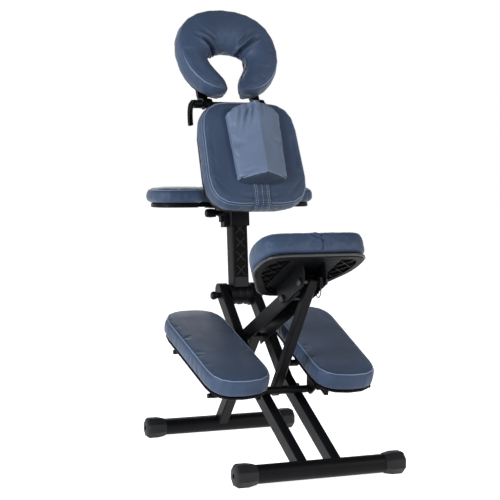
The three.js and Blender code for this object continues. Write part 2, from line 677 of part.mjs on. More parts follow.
function buildBolster(chest) {
  const { x: middle, bottom, halfBottom, halfTop, side, height, topEdge, topRidge } = BOLSTER;
  const section = (half) => [[-half, 0], [half, 0], [half, side], [0, height], [-half, side]];
  const low = section(halfBottom).map(([x, out]) => [middle + x, -out, out * 0.25]);
  const high = section(halfTop).map(([x, out]) => {
    const rise = (topRidge - topEdge) * (out / height);
    return [middle + x, -out, topEdge + rise];
  });
  const corners = [...low, ...high];
  const n = 5;
  const ends = [[0, 1, 2], [0, 2, 3], [0, 3, 4]];
  const faces = ends.flatMap(([a, b, c]) => [[a, b, c], [a + n, c + n, b + n]]);
  for (let i = 0; i < n; i++) {
    const j = (i + 1) % n;
    faces.push([i, i + n, j], [j, i + n, j + n]);
  }
  const g = new THREE.BufferGeometry();
  const positions = faces.flat().flatMap((k) => corners[k]);
  g.setAttribute("position", new THREE.Float32BufferAttribute(positions, 3));
  g.computeVertexNormals();
  add(chest, "sternum_bolster", g, vinyl(), [0, -GAP, bottom]);

  const { width, thickness, x } = STRAP;
  const [front, under] = [-GAP, -GAP];
  const runBack = CHEST.cushion + 10;
  const face = box(width, thickness, bottom + 4)
    .translate(x, front - thickness / 2, bottom / 2 - 3 - thickness / 2);
  const sole = box(width, runBack, thickness)
    .translate(x, front - thickness + runBack / 2, under - thickness / 2);
  add(chest, "sternum_strap", union(face, sole), vinyl());
}

// ---------- face cradle ----------
// Two sockets on the back of the chest board, and the U-shaped post frame that slides in them.
function buildCradleMount(chest) {
  const { x, depth, radius, bottom, top, rod: rodLength } = CRADLE_POST;
  const [z0, z1] = SOCKET.z;
  const middle = (z0 + z1) / 2;
  const upright = (r, length, px, z) => {
    const bar = new THREE.CylinderGeometry(r, r, length, 16);
    return bar.rotateX(Math.PI / 2).translate(px, depth, z);
  };
  const back = CHEST.cushion + CHEST.board + 2 * GAP;
  const plate = box(2 * x + 20, 4, 44).translate(0, back + 2, middle);
  const stand = box(20, depth - back - 2, 44);
  const stands = [-x, x].map((px) => stand.clone().translate(px, (depth + back) / 2, middle));
  const sockets = [-x, x].map((px) => upright(SOCKET.radius, z1 - z0, px, middle));
  const bores = [-x, x].map((px) => upright(radius + GAP, 200, px, middle));
  add(chest, "cradle_sockets", cut(union(plate, ...stands, ...sockets), ...bores), steel());

  const posts = [-x, x].map((px) => upright(radius, top - bottom, px, (top + bottom) / 2));
  const rod = barX(radius, rodLength, [depth, top]);
  add(chest, "cradle_post_frame", union(...posts, rod), steel());
  return new THREE.Vector3(0, depth, top).applyMatrix4(chest.matrixWorld);
}

// Half of the horseshoe as curves of [x, y]: tip, outer side and crown, then the hole's top and side.
function cradleHalf() {
  const { halfWidth: w, height: h } = CRADLE;
  const cubic = (...points) => {
    const ends = points.map(([x, y]) => new THREE.Vector2(x, y));
    return new THREE.CubicBezierCurve(...ends);
  };
  const curves = [
    cubic([25, 18], [26, 6], [33, 0], [46, 0]),
    cubic([46, 0], [106, 4], [w, 66], [w, h * 0.5]),
    cubic([w, h * 0.5], [w, h * 0.84], [w * 0.58, h], [0, h]),
  ];
  const inner = [
    cubic([0, h * 0.55], [50, h * 0.55], [70, h * 0.49], [66, h * 0.41]),
    cubic([66, h * 0.41], [60, h * 0.3], [24, 66], [25, 18]),
  ];
  const sample = (list, n) => list.flatMap((c) => c.getPoints(n).slice(0, -1));
  return { outer: sample(curves, 6), inner: sample(inner, 5) };
}

// The horseshoe outline, open at the bottom; `inset` shrinks it evenly.
function cradleOutline(inset) {
  const { outer, inner } = cradleHalf();
  const right = [...outer, new THREE.Vector2(0, CRADLE.height)];
  const left = outer.map((p) => new THREE.Vector2(-p.x, p.y)).reverse();
  const innerLeft = inner.slice(1).map((p) => new THREE.Vector2(-p.x, p.y)).reverse();
  const ring = [...right, ...left, ...innerLeft, inner[0], ...inner.slice(1)];
  const loop = ring.filter((p, i) => p.distanceTo(ring[(i + 1) % ring.length]) > 0.5);
  if (!inset) return new THREE.Shape(loop);
  const moved = loop.map((p, i) => {
    const a = loop.at(i - 1);
    const b = loop[(i + 1) % loop.length];
    const t = b.clone().sub(a).normalize();
    return new THREE.Vector2(p.x - t.y * inset, p.y + t.x * inset);
  });
  return new THREE.Shape(moved);
}

function buildCradle(pivot) {
  const cradle = frameAt(chair, "face_cradle", CRADLE.origin, CRADLE.tilt);
  cradle.updateMatrixWorld(true);
  const back = CRADLE.cushion + GAP + CRADLE.platform;
  const cushion = standing(slab(cradleOutline(0), CRADLE.cushion, 12));
  add(cradle, "cradle_cushion", cushion, vinyl(), [0, CRADLE.cushion, 0]);
  const platform = standing(slab(cradleOutline(10), CRADLE.platform));
  add(cradle, "cradle_platform", platform, board(), [0, back, 0]);

  const hub = cradle.worldToLocal(pivot.clone());
  const rear = back + GAP;
  const { thickness, apart, reach, foot, webWidth, webDepth } = CRADLE_ARM;
  const link = outline([
    [hub.y - 12, hub.z - 14, 8], [hub.y + 14, hub.z - 14, 8], [rear + 14, foot + 10, 8],
    [rear + 8, reach, 4], [rear, reach, 0], [rear, foot, 2], [hub.y - 6, hub.z + 16, 8],
  ]);
  const core = outline([
    [hub.y + 17, hub.z + 4, 0], [rear + 14, foot + 10, 8], [rear + 8, foot + 40, 0],
    [rear, foot + 40, 0], [rear, foot, 2], [hub.y + 2, hub.z + 18, 0],
  ]);
  for (const [word, side] of SIDES) {
    const x = side * CRADLE_POST.x;
    const pair = [-1, 1].map((k) => sidePlate(link, thickness, x + (k * apart) / 2));
    const web = box(webWidth, webDepth, reach * 0.6).translate(x, rear + webDepth / 2, reach * 0.66);
    const block = sidePlate(core, apart, x);
    add(cradle, `cradle_arm_${word}`, cut(
      union(...pair, web, block), barX(CRADLE_POST.radius + GAP, 300, [hub.y, hub.z]),
    ), plastic());
  }
  buildCamLever(pivot);
}

// The cam lever on the left end of the cradle's rod: a round cam, and a grip that curves down.
function buildCamLever(pivot) {
  const arc = new THREE.CubicBezierCurve3(
    new THREE.Vector3(-6, 0, 4),
    new THREE.Vector3(-26, -4, 14),
    new THREE.Vector3(-30, -12, -22),
    new THREE.Vector3(-21, 2, -64),
  );
  const grip = new THREE.ExtrudeGeometry(roundRect(11, 16, 4), {
    steps: 8, curveSegments: 2, extrudePath: arc,
  });
  const cam = barX(CAM.radius, CAM.width, [0, 0], 0, 24);
  add(chair, "cradle_cam_lever", union(cam, grip), plastic(), [CAM.x, pivot.y, pivot.z]);
}

// ---------- assembly ----------
buildRearFrame();
buildFrontFrame();
buildStrut();
buildSeat();
for (const [word, side] of SIDES) buildKneelPad(word, side);
const mast = buildMast();
buildArmrest(mast);
const chest = buildChest(mast);
buildBolster(chest);
buildCradle(buildCradleMount(chest));

const bounds = new THREE.Box3().setFromObject(chair);
chair.position.y = -(bounds.min.y + bounds.max.y) / 2;
chair.position.z = -bounds.min.z;

export default chair;
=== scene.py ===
"""Looks of the kneeling massage chair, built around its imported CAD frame. Metres, +Z up."""

import json
import math

import bmesh
import bpy
import numpy as np
from mathutils import Matrix, Vector
from mathutils.bvhtree import BVHTree


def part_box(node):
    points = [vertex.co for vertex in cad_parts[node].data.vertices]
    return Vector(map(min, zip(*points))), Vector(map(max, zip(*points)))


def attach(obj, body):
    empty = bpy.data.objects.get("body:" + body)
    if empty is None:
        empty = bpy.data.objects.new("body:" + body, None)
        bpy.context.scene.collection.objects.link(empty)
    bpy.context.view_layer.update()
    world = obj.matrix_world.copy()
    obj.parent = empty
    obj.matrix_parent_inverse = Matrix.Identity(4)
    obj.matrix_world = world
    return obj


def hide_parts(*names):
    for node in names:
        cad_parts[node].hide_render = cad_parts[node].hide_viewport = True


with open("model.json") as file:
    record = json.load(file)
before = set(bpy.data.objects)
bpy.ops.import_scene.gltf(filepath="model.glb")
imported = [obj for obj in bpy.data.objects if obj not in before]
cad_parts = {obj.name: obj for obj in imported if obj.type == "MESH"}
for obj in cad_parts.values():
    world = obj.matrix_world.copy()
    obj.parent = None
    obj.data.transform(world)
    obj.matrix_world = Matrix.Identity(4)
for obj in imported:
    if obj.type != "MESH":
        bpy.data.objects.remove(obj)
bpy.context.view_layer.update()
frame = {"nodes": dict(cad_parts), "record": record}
NODES = frame["nodes"]

# The side-plane positions below are the CAD's own; the frame is moved along Y by SHIFT, Z by LIFT.
NEAR_TUBE = (-0.372, 0.033)
tube_low, tube_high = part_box("near_base_tube")
SHIFT = (tube_low.y + tube_high.y) / 2 - NEAR_TUBE[0]
LIFT = (tube_low.z + tube_high.z) / 2 - NEAR_TUBE[1]

SIDES = (("left", -1), ("right", 1))
BODY_OF = {node: body for body, nodes in frame["record"]["behaviour"]["bodies"].items() for node in nodes}

# Cushions: origin (y, z), tilt, thickness, distance of the cushion's back from the origin, edge radius
SEAT = {"at": (-0.372, 0.602), "tilt": -25, "thick": 0.059, "back": 0.0143, "edge": 0.011}
KNEEL = {"at": (-0.2279, 0.2044), "tilt": 20.1, "thick": 0.053, "back": 0.0083, "edge": 0.009}
KNEEL_X, KNEEL_SPLAY = 0.158, 2.6
ARMREST = {"at": (0.291, 0.721), "tilt": 0, "thick": 0.042, "back": 0.0143, "edge": 0.011}
CHEST = {"at": (0.024, 0.735), "tilt": -23.5, "thick": 0.061, "edge": 0.013}
CRADLE = {"at": (0.220, 1.080), "tilt": -28, "thick": 0.066, "edge": 0.012}

# Piping lies on a pad's rim, these shares of its edge radius in from the outline and down from the face
PIPING_INWARD, PIPING_DOWN = 0.28, 0.25
PIPING_STEP = 0.006
# Piping and threads stand this far off the cover
CLEAR = 0.0002
# How far a cushion's sides bulge
BULGE = 0.0025

CAMERA = {"at": (-1.5537, -3.6679, 0.8171), "pitch": 86.90, "yaw": -22.28, "lens": 98.75}


# ---------- frames ----------
def lying(spec, x=0.0, yaw=0.0):
    """Matrix from a lying pad's own (u, v, w) to the row frame: w is 0 at its back and grows to its face."""
    y, z = spec["at"]
    turn = Matrix.Rotation(math.radians(spec["tilt"]), 4, "X") @ Matrix.Rotation(math.radians(yaw), 4, "Z")
    return Matrix.Translation((x, y + SHIFT, z + LIFT)) @ turn @ Matrix.Translation((0, 0, spec["back"]))


def standing(spec):
    """The same for a pad that stands up and faces the sitter, at -Y."""
    y, z = spec["at"]
    basis = Matrix(((1, 0, 0, 0), (0, 0, -1, spec["thick"]), (0, 1, 0, 0), (0, 0, 0, 1)))
    turn = Matrix.Rotation(math.radians(spec["tilt"]), 4, "X")
    return Matrix.Translation((0, y + SHIFT, z + LIFT)) @ turn @ basis


def transformed(points, matrix):
    m = np.array(matrix, float)
    return points @ m[:3, :3].T + m[:3, 3]


# ---------- meshes ----------
def per_vertex(mesh, field):
    flat = np.empty(len(mesh.vertices) * 3)
    mesh.vertices.foreach_get(field, flat)
    return flat.reshape(-1, 3)


def coords(mesh):
    return per_vertex(mesh, "co")


def normals(mesh):
    return per_vertex(mesh, "normal")


def set_coords(mesh, points):
    mesh.vertices.foreach_set("co", points.astype(np.float32).ravel())
    mesh.update()


def new_object(name, vertices, faces, material, smooth=True):
    mesh = bpy.data.meshes.new(name)
    mesh.from_pydata([tuple(v) for v in vertices], [], [tuple(f) for f in faces])
    mesh.polygons.foreach_set("use_smooth", [smooth] * len(mesh.polygons))
    mesh.update()
    obj = bpy.data.objects.new(name, mesh)
    bpy.context.scene.collection.objects.link(obj)
    if material:
        mesh.materials.append(material)
    return obj


def applied(obj):
    """The object's mesh with its modifiers applied."""
    graph = bpy.context.evaluated_depsgraph_get()
    mesh = bpy.data.meshes.new_from_object(obj.evaluated_get(graph), depsgraph=graph)
    old = obj.data
    obj.modifiers.clear()
    obj.data = mesh
    bpy.data.meshes.remove(old)
    return mesh


def welded(node, matrix):
    """A CAD node's vertices without repeats, in a pad's own frame, and its faces."""
    mesh = NODES[node].data
    points = transformed(coords(mesh), matrix.inverted())
    keys = {}
    index = []
    for p in np.round(points, 5):
        index.append(keys.setdefault(tuple(p), len(keys)))
    faces = [[index[v] for v in poly.vertices] for poly in mesh.polygons]
    faces = [f for f in faces if len(set(f)) == len(f)]
    return np.array(list(keys)), faces


def outline_of(node, matrix, level):
    """A pad's widest outline as ordered (u, v) points: the loop of CAD edges at that height."""
    points, faces = welded(node, matrix)
    at_level = np.abs(points[:, 2] - level) < 3e-4
    links = {}
    for f in faces:
        for a, b in zip(f, f[1:] + f[:1]):
            if at_level[a] and at_level[b]:
                links.setdefault(a, set()).add(b)
                links.setdefault(b, set()).add(a)
    start = min(links)
    loop, previous, here = [start], None, start
    while True:
        ahead = [n for n in sorted(links[here]) if n != previous]
        previous, here = here, ahead[0]
        if here == start:
            break
        loop.append(here)
    loop = points[loop][:, :2]
    area = np.sum(loop[:, 0] * np.roll(loop[:, 1], -1) - np.roll(loop[:, 0], -1) * loop[:, 1])
    return loop if area > 0 else loop[::-1]


def line_distance(uv, line):
    """Distance of each (u, v) point to a line through points."""
    a, b = line[:-1], line[1:]
    d = b - a
    t = np.einsum("nkd,kd->nk", uv[:, None, :] - a[None], d) / np.maximum(np.einsum("kd,kd->k", d, d), 1e-12)
    nearest = a[None] + np.clip(t, 0, 1)[..., None] * d[None]
    return np.sqrt(((uv[:, None, :] - nearest) ** 2).sum(-1)).min(1)


def edge_distance(uv, loop):
    """Distance of each (u, v) point to the closed outline."""
    return line_distance(uv, np.vstack([loop, loop[:1]]))


def arc_of(loop, inside):
    """The one run of the outline's points for which `inside` holds, in order."""
    keep = inside(loop)
    start = next(i for i in range(len(loop)) if keep[i] and not keep[i - 1])
    turned, keep = np.roll(loop, -start, axis=0), np.roll(keep, -start)
    return turned[:int(np.argmin(keep))] if not keep.all() else turned


def run_lengths(line):
    """The distance along a line, at each of its points."""
    return np.concatenate([[0], np.cumsum(np.linalg.norm(np.diff(line, axis=0), axis=1))])


def points_at(line, lengths, places):
    return np.column_stack([np.interp(places, lengths, line[:, k]) for k in range(line.shape[1])])


def resampled(loop, step):
    """A closed outline with its points about `step` apart."""
    closed = np.vstack([loop, loop[:1]])
    lengths = run_lengths(closed)
    count = max(8, int(lengths[-1] / step))
    return points_at(closed, lengths, np.linspace(0, lengths[-1], count, endpoint=False))


def resampled_open(line, step):
    """The same for a line with two ends."""
    lengths = run_lengths(line)
    count = max(4, int(lengths[-1] / step))
    return points_at(line, lengths, np.linspace(0, lengths[-1], count))


def moved_left(line, tangents, amount):
    """Points moved sideways, to the left of the line's direction."""
    t = tangents / np.linalg.norm(tangents, axis=1)[:, None]
    return line + amount * np.column_stack([-t[:, 1], t[:, 0]])


def inset(loop, amount):
    return moved_left(loop, np.roll(loop, -1, axis=0) - np.roll(loop, 1, axis=0), amount)


def smoothstep(x):
    x = np.clip(x, 0, 1)
    return x * x * (3 - 2 * x)


# ---------- soft pieces ----------
def inflate(obj, pinned, pressure, cap, frames=14):
    """Blows the cover up a little with Cloth, held by its pinned points, and keeps the result."""
    group = obj.vertex_groups.new(name="pin")
    for i, w in enumerate(pinned):
        group.add([i], float(w), "REPLACE")
    before = coords(obj.data)
    cloth = obj.modifiers.new("Cloth", "CLOTH")
    s = cloth.settings
    s.quality, s.mass = 5, 0.3
    s.tension_stiffness, s.compression_stiffness, s.shear_stiffness, s.bending_stiffness = 20, 14, 8, 0.6
    s.use_pressure, s.uniform_pressure_force = True, pressure
    s.shrink_min = -0.018  # negative, so the cover grows a little
    s.vertex_group_mass = "pin"
    s.effector_weights.gravity = 0
    cloth.point_cache.frame_start, cloth.point_cache.frame_end = 1, frames
    scene = bpy.context.scene
    for f in range(1, frames + 1):
        scene.frame_set(f)
    graph = bpy.context.evaluated_depsgraph_get()
    after = coords(obj.evaluated_get(graph).data).copy()
    obj.modifiers.remove(cloth)
    obj.vertex_groups.clear()
    scene.frame_set(1)
    move = after - before
    length = np.linalg.norm(move, axis=1)
    move *= (np.minimum(length, cap) / np.maximum(length, 1e-9))[:, None]
    set_coords(obj.data, before + move)


def crease(points, direction, start, end, width, depth, ridge=0.45):
    """A fold along a straight line: a groove with a soft ridge on each side, fading at both ends.

    Ends given as (u, v) alone make a fold in the pad's face, whatever its height there.
    """
    start, end = np.array(start, float), np.array(end, float)
    along = end - start
    where = points[:, :len(start)]
    t = (where - start) @ along / (along @ along)
    gap = np.linalg.norm(where - start - np.clip(t, 0, 1)[:, None] * along, axis=1) / width
    fade = smoothstep((t + 0.12) / 0.25) * smoothstep((1.15 - t) / 0.7)
    if len(start) == 2:
        fade = fade * smoothstep((points[:, 2] - 0.008) / 0.010)
    shape = -np.exp(-gap ** 2) + ridge * np.exp(-((gap - 1.7) ** 2) / 0.6)
    return points + direction * (depth * shape * fade)[:, None]


def remeshed(name, node, matrix, voxel):
    """A pad's CAD solid as an even mesh with softened edges, in the pad's own frame."""
    obj = new_object(name, *welded(node, matrix), None)
    remesh = obj.modifiers.new("Remesh", "REMESH")
    remesh.mode, remesh.voxel_size = "VOXEL", voxel
    soften = obj.modifiers.new("Smooth", "SMOOTH")
    soften.factor, soften.iterations = 0.5, 3
    applied(obj)
    return obj


def pin_weights(p, loop, spec):
    """How firmly the board and the rim's seam hold each point while the cover is blown up."""
    held = 1 - smoothstep((p[:, 2] - 0.002) / 0.010)
    if loop is None:
        return held
    edge = spec["edge"]
    inner = edge_distance(p[:, :2], loop)
    near_face = p[:, 2] > spec["thick"] - 1.6 * edge
    rim = np.exp(-(((inner - 0.4 * edge) / (0.7 * edge)) ** 2)) * near_face
    return np.maximum(held, 0.55 * rim)


def crowned(p, n, loop, spec, crown):
    """The cover's points with a raised face, bulging sides and the lower edge tucked in."""
    thick, edge = spec["thick"], spec["edge"]
    inner = edge_distance(p[:, :2], loop)
    face = smoothstep((p[:, 2] - 0.5 * thick) / (0.4 * thick))
    p[:, 2] += crown * smoothstep((inner - 0.4 * edge) / 0.055) * face
    side = np.sin(np.pi * np.clip(p[:, 2] / thick, 0, 1)) * (1 - smoothstep(inner / (1.2 * edge)))
    p += n * (BULGE * side)[:, None]
    tuck = (1 - smoothstep(p[:, 2] / 0.008)) * (1 - smoothstep(inner / edge))
    p[:, :2] -= n[:, :2] * (0.002 * tuck)[:, None]
    return p


def cushion(name, node, matrix, spec, material, crown=0.004, voxel=0.005, sim=(2.2, 0.0026), folds=(),
            shape=None):
    """A foam pad under its cover: remeshed from the CAD solid, blown up, then crowned and creased.

    `sim` is the cloth's pressure and the farthest that it may move a point.
    """
    obj = remeshed(name, node, matrix, voxel)
    loop = outline_of(node, matrix, spec["edge"]) if spec.get("outline", True) else None
    inflate(obj, pin_weights(coords(obj.data), loop, spec), *sim)
    fine = obj.modifiers.new("Subdivision", "SUBSURF")
    fine.levels = fine.render_levels = 1
    mesh = applied(obj)
    p, n = coords(mesh), normals(mesh)
    if loop is not None:
        p = crowned(p, n, loop, spec, crown)
    p[:, 2] = np.maximum(p[:, 2], 0)
    if shape:
        p = shape(p, loop)
        set_coords(mesh, p)
        n = normals(mesh)
    for fold in folds:
        p = crease(p, n, *fold)
    set_coords(mesh, transformed(p, matrix))
    mesh.materials.clear()
    mesh.materials.append(material)
    mesh.polygons.foreach_set("use_smooth", [True] * len(mesh.polygons))
    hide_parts(node)
    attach(obj, BODY_OF[node])
    return obj, loop


def surface_of(obj):
    mesh = obj.data
    return BVHTree.FromPolygons([v.co for v in mesh.vertices], [list(f.vertices) for f in mesh.polygons])


def snapped(surface, points, lift=CLEAR):
    """Points moved onto a surface and lifted off it, with the surface's normals there."""
    found = [surface.find_nearest(Vector(p)) for p in points]
    return [loc + nor * lift for loc, nor, _, _ in found], [nor for _, nor, _, _ in found]


def joined_rings(start, after, sides, turn=0):
    """Faces between two rings of vertices, given the number of each ring's first vertex."""
    faces = []
    for k in range(sides):
        k2 = (k + 1) % sides
        faces.append((start + k, start + k2, after + (k2 + turn) % sides, after + (k + turn) % sides))
    return faces


def end_caps(first, last, sides):
    return [tuple(range(first, first + sides))[::-1], tuple(range(last, last + sides))]


def ring_turn(first, last):
    """How many places the last ring of a closed tube has turned against its first one."""
    sides = len(first)

    def mismatch(turn):
        return sum((last[k] - first[(k + turn) % sides]).length for k in range(sides))

    return min(range(sides), key=mismatch)


def tube(name, points, radius, material, closed=True, sides=8, taper=0):
    """A thin cord along points; an open one can taper over `taper` points at each end."""
    count = len(points)
    pts = [Vector(p) for p in points]
    vertices, faces = [], []
    normal = Vector((0.31, 0.62, 0.72))
    for i, p in enumerate(pts):
        ahead = pts[(i + 1) % count] if closed or i < count - 1 else p
        behind = pts[i - 1] if closed or i else p
        tangent = (ahead - behind).normalized()
        normal = (normal - tangent * normal.dot(tangent)).normalized()
        other = tangent.cross(normal)
        r = radius * float(smoothstep((min(i, count - 1 - i) + 1) / (taper + 1))) if taper else radius
        for k in range(sides):
            a = 2 * math.pi * k / sides
            vertices.append(p + r * (math.cos(a) * normal + math.sin(a) * other))
    for i in range(count - 1):
        faces += joined_rings(i * sides, (i + 1) * sides, sides)
    if closed:
        turn = ring_turn(vertices[:sides], vertices[-sides:])
        faces += joined_rings((count - 1) * sides, 0, sides, turn)
    else:
        faces += end_caps(0, (count - 1) * sides, sides)
    return new_object(name, vertices, faces, material)


def stitches(name, points, surface_normals, material, length=0.0042, radius=0.00055):
    """A row of short threads lying on a surface, one over every second gap between the points."""
    vertices, faces = [], []
    rings = [(-0.5, 0.35), (-0.35, 1.0), (0.35, 1.0), (0.5, 0.35)]  # place along the thread, thickness
    sides = 5
    for i in range(0, len(points) - 1, 2):
        p, up = points[i], surface_normals[i]
        t = (points[i + 1] - p).normalized()
        side = up.cross(t).normalized()
        base = len(vertices)
        for s, r in rings:
            for k in range(sides):
                a = 2 * math.pi * k / sides
                vertices.append(p + t * (s * length) + radius * r * (math.cos(a) * up + math.sin(a) * side))
        for q in range(len(rings) - 1):
            faces += joined_rings(base + q * sides, base + (q + 1) * sides, sides)
        faces += end_caps(base, base + (len(rings) - 1) * sides, sides)
    return new_object(name, vertices, faces, material)


def rim_line(pad, loop, matrix, spec, inward, down, step):
    """Points round a pad's rim, on its finished surface."""
    ring = inset(resampled(loop, step), inward)
    flat = np.column_stack([ring, np.full(len(ring), spec["thick"] - down)])
    return snapped(surface_of(pad), transformed(flat, matrix))


def edge_line(pad, line, matrix, spec):
    """Points along one run of a pad's rim, on its finished surface."""
    run = resampled_open(line, PIPING_STEP)
    run = moved_left(run, np.gradient(run, axis=0), PIPING_INWARD * spec["edge"])
    flat = np.column_stack([run, np.full(len(run), spec["thick"] - PIPING_DOWN * spec["edge"])])
    return snapped(surface_of(pad), transformed(flat, matrix))


def add_piping(pad, loop, matrix, spec, body, name, radius):
    inward, down = PIPING_INWARD * spec["edge"], PIPING_DOWN * spec["edge"]
    points, _ = rim_line(pad, loop, matrix, spec, inward, down, PIPING_STEP)
    cord = tube(name, points, radius, MATERIALS["piping"])
    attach(cord, body)


def add_stitches(pad, loop, matrix, spec, body, name, inward, down):
    points, ups = rim_line(pad, loop, matrix, spec, inward, down, 0.0034)
    row = stitches(name, points, ups, MATERIALS["thread"])
    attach(row, body)


# ---------- materials ----------
class Nodes:
    """A material's node tree with short calls."""

    def __init__(self, name):
        self.material = bpy.data.materials.new(name)
        self.material.use_nodes = True
        self.tree = self.material.node_tree
        self.shader = self.tree.nodes["Principled BSDF"]
        self.place = self.node("ShaderNodeTexCoord").outputs["Object"]

    def node(self, kind, **values):
        made = self.tree.nodes.new(kind)
        for key, value in values.items():
            if key in made.inputs:
                made.inputs[key].default_value = value
            else:
                setattr(made, key, value)
        return made

    def link(self, a, b):
        self.tree.links.new(a, b)

    def noise(self, scale, detail=3.0, roughness=0.5, distortion=0.0):
        n = self.node("ShaderNodeTexNoise", Scale=scale, Detail=detail, Roughness=roughness,
                      Distortion=distortion)
        self.link(self.place, n.inputs["Vector"])
        return n.outputs["Fac"]

    def cells(self, scale):
        n = self.node("ShaderNodeTexVoronoi", Scale=scale, feature="F1")
        self.link(self.place, n.inputs["Vector"])
        return n.outputs["Distance"]

    def ramp(self, value, stops):
        r = self.node("ShaderNodeValToRGB")
        elements = r.color_ramp.elements
        while len(elements) < len(stops):
            elements.new(0.5)
        for e, (position, color) in zip(elements, stops):
            e.position = position
            e.color = (*color, 1)
        self.link(value, r.inputs["Fac"])
        return r.outputs["Color"]

    def span(self, value, low, high):
        m = self.node("ShaderNodeMapRange")
        m.inputs["To Min"].default_value = low
        m.inputs["To Max"].default_value = high
        self.link(value, m.inputs["Value"])
        return m.outputs["Result"]

    def bump(self, height, strength, distance, before=None):
        b = self.node("ShaderNodeBump", Strength=strength, Distance=distance)
        self.link(height, b.inputs["Height"])
        if before:
            self.link(before, b.inputs["Normal"])
        return b.outputs["Normal"]

    def mix(self, fac, a, b):
        """Color `a` where `fac` is 0 and `b` where it is 1."""
        m = self.node("ShaderNodeMix", data_type="RGBA")
        for value, name, kind in ((fac, "Factor", "VALUE"), (a, "A", "RGBA"), (b, "B", "RGBA")):
            socket = next(s for s in m.inputs if s.name == name and s.type == kind)
            if hasattr(value, "node"):
                self.link(value, socket)
            else:
                socket.default_value = value if isinstance(value, float) else (*value, 1)
        return next(s for s in m.outputs if s.type == "RGBA")

    def across(self, point, direction):
        """Distance from a plane through `point`, along `direction`."""
        offset = self.node("ShaderNodeVectorMath", operation="SUBTRACT")
        self.link(self.place, offset.inputs[0])
        offset.inputs[1].default_value = point
        dot = self.node("ShaderNodeVectorMath", operation="DOT_PRODUCT")
        self.link(offset.outputs[0], dot.inputs[0])
        dot.inputs[1].default_value = direction
        return dot.outputs["Value"]

    def calc(self, operation, *values):
        """A math node on outputs or plain numbers."""
        made = self.node("ShaderNodeMath", operation=operation)
        for value, socket in zip(values, made.inputs):
            if hasattr(value, "node"):
                self.link(value, socket)
            else:
                socket.default_value = value
        return made.outputs["Value"]

    def finish(self, color, roughness, normal, metallic=0.0, specular=0.5, sheen=0.0):
        self.link(color, self.shader.inputs["Base Color"])
        self.link(roughness, self.shader.inputs["Roughness"])
        self.link(normal, self.shader.inputs["Normal"])
        self.shader.inputs["Metallic"].default_value = metallic
        self.shader.inputs["Specular IOR Level"].default_value = specular
        self.shader.inputs["Sheen Weight"].default_value = sheen
        return self.material


def shades(color, *factors):
    return [tuple(c * f for c in color) for f in factors]


def vinyl(name, color, specular=0.16):
    """Upholstery vinyl: a fine pebbled grain, soft stretch marks, and a patchy satin gloss."""
    m = Nodes(name)
    dark, middle, light = shades(color, 0.82, 1.0, 1.17)
    patches = m.ramp(m.noise(7.0, 4.0, 0.55, 0.4), [(0.30, dark), (0.52, middle), (0.74, light)])
    fine = m.noise(320.0, 2.0)
    color_out = m.mix(m.span(fine, 0.0, 0.10), patches, light)
    roughness = m.span(m.noise(38.0, 4.0, 0.6), 0.36, 0.56)
    grain = m.bump(m.cells(780.0), 0.22, 0.0004)
    skin = m.bump(m.noise(110.0, 3.0, 0.6), 0.10, 0.0010, grain)
    stretch = m.bump(m.noise(16.0, 2.0, 0.5, 0.8), 0.20, 0.0040, skin)
    return m.finish(color_out, roughness, stretch, specular=specular, sheen=0.05)


def painted(m, color, roughness, specular, over=None):
    """Powder coat on steel: a fine orange peel, faint scuffs and handling marks.

    `over` is a mask and the color that covers the coat there.
    """
    dark, middle, light = shades(color, 0.75, 1.0, 1.5)
    tone = m.ramp(m.noise(12.0, 5.0, 0.6), [(0.35, dark), (0.55, middle), (0.80, light)])
    scuff = m.ramp(m.noise(90.0, 8.0, 0.75, 1.5), [(0.60, (0, 0, 0)), (0.78, (1, 1, 1))])
    coat_color = m.mix(m.span(scuff, 0.0, 0.12), tone, tuple(min(1.0, c * 5) for c in color))
    # Where `over` is given, its colour covers the coat: on the mast, painted shade in the sunk panel and
    # pale ridges.
    if over:
        coat_color = m.mix(over[0], coat_color, over[1])
    rough = m.span(m.noise(55.0, 5.0, 0.6), *roughness)
    peel = m.bump(m.noise(420.0, 2.0), 0.16, 0.0004)
    waves = m.bump(m.noise(35.0, 2.0), 0.06, 0.0015, peel)
    return m.finish(coat_color, rough, waves, specular=specular)


def paint(name, color):
    return painted(Nodes(name), color, (0.34, 0.52), 0.11)


def panel_paint(name, color, pivot, lean):
    """The mast's powder coat: painted shade makes the sunk panel nearly black, and the crosses' ridges are
    pale.
    """
    m = Nodes(name)
    depth = m.across(pivot, (0, math.cos(math.radians(lean)), math.sin(math.radians(lean))))
    beside = m.calc("ABSOLUTE", m.across(pivot, (1, 0, 0)))
    inside = m.calc("LESS_THAN", beside, PANEL["half"])
    in_front = m.calc("LESS_THAN", depth, PANEL["back"])
    sunk = m.calc("GREATER_THAN", depth, PANEL["ridge"])
    # Painted shade: the sunk panel is nearly black; the crosses' ridges are pale.
    panel = m.mix(sunk, (0.022, 0.022, 0.024), (0.0003, 0.0003, 0.0004))
    return painted(m, color, (0.40, 0.58), 0.08, (m.calc("MULTIPLY", inside, in_front), panel))


def moulded(name, color, roughness=(0.42, 0.62), specular=0.14, grain=900.0, strength=0.25):
    """Moulded plastic or rubber: a spark-eroded texture with duller and shinier areas."""
    m = Nodes(name)
    dark, middle, light = shades(color, 0.8, 1.0, 1.35)
    tone = m.ramp(m.noise(18.0, 5.0, 0.6), [(0.32, dark), (0.55, middle), (0.78, light)])
    rough = m.span(m.noise(70.0, 4.0, 0.6), *roughness)
    texture = m.bump(m.cells(grain), strength, 0.0004)
    flow = m.bump(m.noise(28.0, 2.0), 0.08, 0.0012, texture)
    return m.finish(tone, rough, flow, specular=specular)


def plated(name, color):
    """Zinc-plated steel with turning marks and dull spots."""
    m = Nodes(name)
    dark, middle, light = shades(color, 0.65, 1.0, 1.2)
    tone = m.ramp(m.noise(130.0, 5.0, 0.7), [(0.30, dark), (0.50, middle), (0.72, light)])
    rough = m.span(m.noise(260.0, 4.0), 0.25, 0.5)
    marks = m.bump(m.noise(900.0, 2.0), 0.15, 0.0002)
    return m.finish(tone, rough, marks, metallic=0.9)


